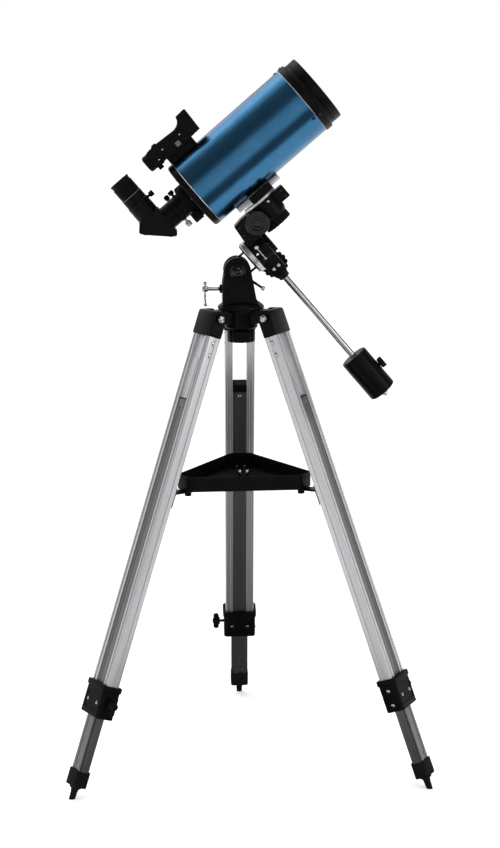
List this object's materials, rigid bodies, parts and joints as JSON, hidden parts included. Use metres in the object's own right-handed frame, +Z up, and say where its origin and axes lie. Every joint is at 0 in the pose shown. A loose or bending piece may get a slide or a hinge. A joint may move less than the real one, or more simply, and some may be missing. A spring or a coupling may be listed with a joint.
{
  "type": "telescope on tripod",
  "caption": "Short closed telescope tube with a star diagonal and red-dot finder on an equatorial mount with a counterweight, on an aluminium tripod with a tray.",
  "frame": {"origin": "centre of the object's box at floor level", "axes": "+Z up, the mount's side view faces -Y, the tube points up towards +X"},
  "size_m": [0.5446, 0.4761, 1.0608],
  "materials": {
    "black_paint": "satin black paint on castings",
    "black_plastic": "matte black moulded plastic",
    "leg_aluminium": "satin anodised extrusion",
    "bright_chrome": "polished chrome plate",
    "silver_scale": "satin silver",
    "tube_blue": "metallic blue paint",
    "lens_glass": "coated optical glass",
    "optic_mirror": "aluminised mirror"
  },
  "bodies": {
    "tripod": {"tripod_hub": "black_paint", "accessory_tray": "black_plastic", "leg_casting_back": "black_paint", "hinge_bolt_back": "bright_chrome", "outer_rail_back_a": "leg_aluminium", "outer_rail_back_b": "leg_aluminium", "leg_clamp_back": "black_plastic", "tray_bracket_back": "black_paint", "leg_casting_left": "black_paint", "hinge_bolt_left": "bright_chrome", "outer_rail_left_a": "leg_aluminium", "outer_rail_left_b": "leg_aluminium", "leg_clamp_left": "black_plastic", "tray_bracket_left": "black_paint", "leg_casting_right": "black_paint", "hinge_bolt_right": "bright_chrome", "outer_rail_right_a": "leg_aluminium", "outer_rail_right_b": "leg_aluminium", "leg_clamp_right": "black_plastic", "tray_bracket_right": "black_paint"},
    "azimuth_knob": {"azimuth_lock_knob": "black_plastic"},
    "lower_leg_back": {"inner_leg_back": "leg_aluminium", "foot_back": "black_plastic"},
    "clamp_knob_back": {"leg_clamp_knob_back": "black_plastic"},
    "lower_leg_left": {"inner_leg_left": "leg_aluminium", "foot_left": "black_plastic"},
    "clamp_knob_left": {"leg_clamp_knob_left": "black_plastic"},
    "lower_leg_right": {"inner_leg_right": "leg_aluminium", "foot_right": "black_plastic"},
    "clamp_knob_right": {"leg_clamp_knob_right": "black_plastic"},
    "mount": {"mount_base": "black_paint", "latitude_pivot_bolt": "bright_chrome"},
    "latitude_lever": {"latitude_lock_lever": "black_paint"},
    "t_bolt": {"latitude_t_bolt": "bright_chrome"},
    "polar": {"polar_bracket": "black_paint", "polar_shaft": "bright_chrome", "ra_setting_circle": "silver_scale", "polar_lock_nut": "black_paint"},
    "ra": {"ra_housing": "black_paint", "dec_housing": "black_paint", "dec_setting_circle": "silver_scale", "counterweight_shaft": "bright_chrome"},
    "ra_knob": {"ra_slow_motion_knob": "black_plastic"},
    "ra_lever": {"ra_lock_lever": "bright_chrome"},
    "dec_knob": {"dec_slow_motion_knob": "black_plastic"},
    "counterweight": {"counterweight": "black_paint"},
    "weight_knob": {"counterweight_knob": "black_plastic"},
    "telescope": {"saddle": "black_paint", "dec_lock_nut": "black_plastic", "dovetail_bar": "silver_scale", "optical_tube": "tube_blue", "front_cell": "black_paint", "corrector_lens": "lens_glass", "rear_cell": "black_paint", "primary_mirror": "optic_mirror", "visual_back": "black_paint", "red_dot_finder": "black_plastic"},
    "focuser": {"focus_knob": "black_plastic"},
    "diagonal": {"star_diagonal": "black_paint"},
    "ocular": {"eyepiece": "black_plastic"}
  },
  "joints": [
    {"name": "azimuth_lock", "type": "hinge", "parent": "tripod", "child": "azimuth_knob", "pos_m": [0, -0.0714, 0.66], "axis": [0, 0, 1], "continuous": true},
    {"name": "leg_extend_back", "type": "slide", "parent": "tripod", "child": "lower_leg_back", "axis": [0, 0.3464, -0.9381], "range_m": [-0.072, 0.36]},
    {"name": "leg_clamp_turn_back", "type": "hinge", "parent": "tripod", "child": "clamp_knob_back", "pos_m": [0, 0.18072, 0.14217], "axis": [-1, 0, 0], "continuous": true},
    {"name": "leg_extend_left", "type": "slide", "parent": "tripod", "child": "lower_leg_left", "axis": [-0.3, -0.1732, -0.9381], "range_m": [-0.072, 0.36]},
    {"name": "leg_clamp_turn_left", "type": "hinge", "parent": "tripod", "child": "clamp_knob_left", "pos_m": [-0.21835, -0.19746, 0.14217], "axis": [0.5, -0.866, 0], "continuous": true},
    {"name": "leg_extend_right", "type": "slide", "parent": "tripod", "child": "lower_leg_right", "axis": [0.3, -0.1732, -0.9381], "range_m": [-0.072, 0.36]},
    {"name": "leg_clamp_turn_right", "type": "hinge", "parent": "tripod", "child": "clamp_knob_right", "pos_m": [0.21835, -0.19746, 0.14217], "axis": [0.5, 0.866, 0], "continuous": true},
    {"name": "azimuth", "type": "hinge", "parent": "tripod", "child": "mount", "pos_m": [0, -0.0714, 0.7], "axis": [0, 0, 1], "continuous": true},
    {"name": "latitude_lock", "type": "hinge", "parent": "mount", "child": "latitude_lever", "pos_m": [-0.005, -0.0714, 0.75699], "axis": [0, -1, 0], "range_deg": [-35, 25]},
    {"name": "latitude_adjust", "type": "hinge", "parent": "mount", "child": "t_bolt", "pos_m": [-0.04, -0.0714, 0.7297], "axis": [1, 0, 0], "continuous": true},
    {"name": "latitude", "type": "hinge", "parent": "mount", "child": "polar", "pos_m": [-0.005, -0.0714, 0.75699], "axis": [0, -1, 0], "range_deg": [-16, 20]},
    {"name": "right_ascension", "type": "hinge", "parent": "polar", "child": "ra", "pos_m": [0.031, -0.0714, 0.7872], "axis": [0.766, 0, 0.6428], "range_deg": [-75, 75]},
    {"name": "ra_slow_motion", "type": "hinge", "parent": "ra", "child": "ra_knob", "pos_m": [0.05221, -0.0714, 0.76192], "axis": [0, 1, 0], "continuous": true},
    {"name": "ra_lock", "type": "hinge", "parent": "ra", "child": "ra_lever", "pos_m": [0.02292, -0.0714, 0.79217], "axis": [0, 1, 0], "range_deg": [-25, 25]},
    {"name": "dec_slow_motion", "type": "hinge", "parent": "ra", "child": "dec_knob", "pos_m": [0.02446, -0.0714, 0.82766], "axis": [0, 1, 0], "continuous": true},
    {"name": "counterweight_slide", "type": "slide", "parent": "ra", "child": "counterweight", "axis": [-0.6428, 0, 0.766], "range_m": [0, 0.13]},
    {"name": "counterweight_lock", "type": "hinge", "parent": "counterweight", "child": "weight_knob", "pos_m": [0.18945, -0.0714, 0.59837], "axis": [0.766, 0, 0.6428], "continuous": true},
    {"name": "declination", "type": "hinge", "parent": "ra", "child": "telescope", "pos_m": [0.06547, -0.0714, 0.81612], "axis": [-0.6428, 0, 0.766], "continuous": true},
    {"name": "focus", "type": "hinge", "parent": "telescope", "child": "focuser", "pos_m": [-0.03373, -0.0974, 0.86434], "axis": [0.766, 0, 0.6428], "continuous": true},
    {"name": "diagonal_turn", "type": "hinge", "parent": "telescope", "child": "diagonal", "pos_m": [-0.04916, -0.0714, 0.88273], "axis": [0.766, 0, 0.6428], "continuous": true},
    {"name": "eyepiece_slide", "type": "slide", "parent": "diagonal", "child": "ocular", "axis": [-0.6428, 0, 0.766], "range_m": [0, 0.018]}
  ]
}
